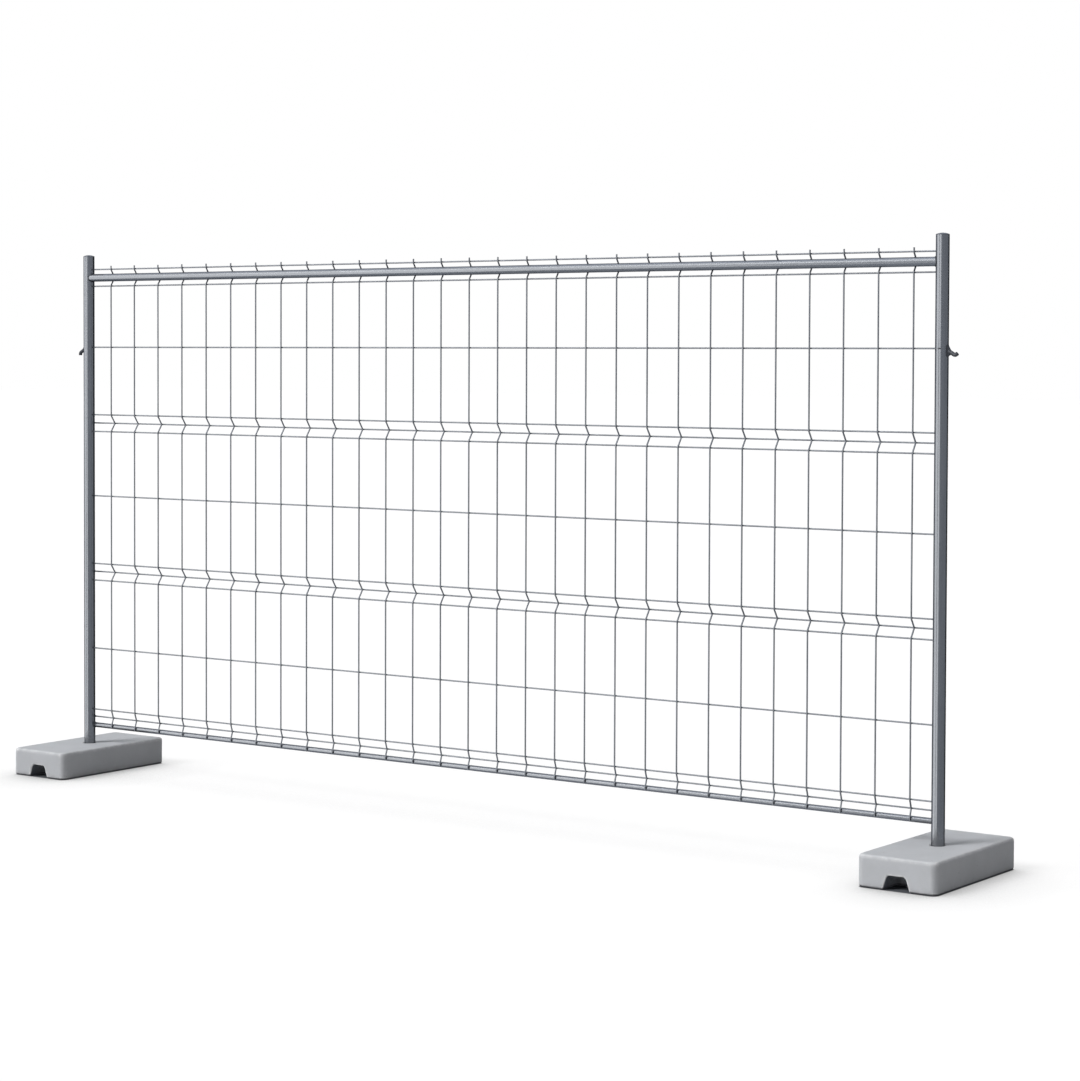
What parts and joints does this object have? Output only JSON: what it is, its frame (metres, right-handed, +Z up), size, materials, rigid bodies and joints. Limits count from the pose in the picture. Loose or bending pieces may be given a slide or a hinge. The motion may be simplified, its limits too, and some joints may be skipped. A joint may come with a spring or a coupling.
{
  "type": "temporary fence panel",
  "caption": "Temporary site fence panel: folded welded wire mesh in a galvanised tube frame, standing in two lift-off concrete feet, with a hook on each post to join the next panel.",
  "frame": {"origin": "on the ground, midway between the two posts", "axes": "+X along the panel to the right as seen from its front, +Y from the front to the back, +Z up"},
  "size_m": [3.715, 0.52, 1.8809],
  "materials": {
    "concrete": "matte",
    "galvanised_tube": "satin",
    "galvanised_wire": "satin"
  },
  "bodies": {
    "left_foot_block": {"left_foot": "concrete"},
    "panel": {"left_post": "galvanised_tube", "right_post": "galvanised_tube", "left_post_cap": "galvanised_tube", "right_post_cap": "galvanised_tube", "top_rail": "galvanised_tube", "bottom_rail": "galvanised_tube", "left_hook": "galvanised_tube", "right_hook": "galvanised_tube", "top_wire": "galvanised_wire", "under_rail_wire": "galvanised_wire", "upper_single_wire": "galvanised_wire", "upper_fold_top_wire": "galvanised_wire", "upper_fold_apex_wire": "galvanised_wire", "upper_fold_bottom_wire": "galvanised_wire", "middle_single_wire": "galvanised_wire", "lower_fold_top_wire": "galvanised_wire", "lower_fold_apex_wire": "galvanised_wire", "lower_fold_bottom_wire": "galvanised_wire", "lower_single_wire": "galvanised_wire", "bottom_fold_top_wire": "galvanised_wire", "bottom_fold_apex_wire": "galvanised_wire", "vertical_wire_01": "galvanised_wire", "vertical_wire_02": "galvanised_wire", "vertical_wire_03": "galvanised_wire", "vertical_wire_04": "galvanised_wire", "vertical_wire_05": "galvanised_wire", "vertical_wire_06": "galvanised_wire", "vertical_wire_07": "galvanised_wire", "vertical_wire_08": "galvanised_wire", "vertical_wire_09": "galvanised_wire", "vertical_wire_10": "galvanised_wire", "vertical_wire_11": "galvanised_wire", "vertical_wire_12": "galvanised_wire", "vertical_wire_13": "galvanised_wire", "vertical_wire_14": "galvanised_wire", "vertical_wire_15": "galvanised_wire", "vertical_wire_16": "galvanised_wire", "vertical_wire_17": "galvanised_wire", "vertical_wire_18": "galvanised_wire", "vertical_wire_19": "galvanised_wire", "vertical_wire_20": "galvanised_wire", "vertical_wire_21": "galvanised_wire", "vertical_wire_22": "galvanised_wire", "vertical_wire_23": "galvanised_wire", "vertical_wire_24": "galvanised_wire", "vertical_wire_25": "galvanised_wire", "vertical_wire_26": "galvanised_wire", "vertical_wire_27": "galvanised_wire", "vertical_wire_28": "galvanised_wire", "vertical_wire_29": "galvanised_wire"},
    "right_foot_block": {"right_foot": "concrete"}
  },
  "joints": [
    {"name": "panel_lift", "type": "slide", "parent": "left_foot_block", "child": "panel", "axis": [0, 0, 1], "range_m": [0, 0.15]},
    {"name": "right_foot_pull_off", "type": "slide", "parent": "panel", "child": "right_foot_block", "axis": [0, 0, 1], "range_m": [-0.15, 0]}
  ],
  "couplings": [
    {"joint": "right_foot_pull_off", "follows": "panel_lift", "ratio": -1}
  ]
}
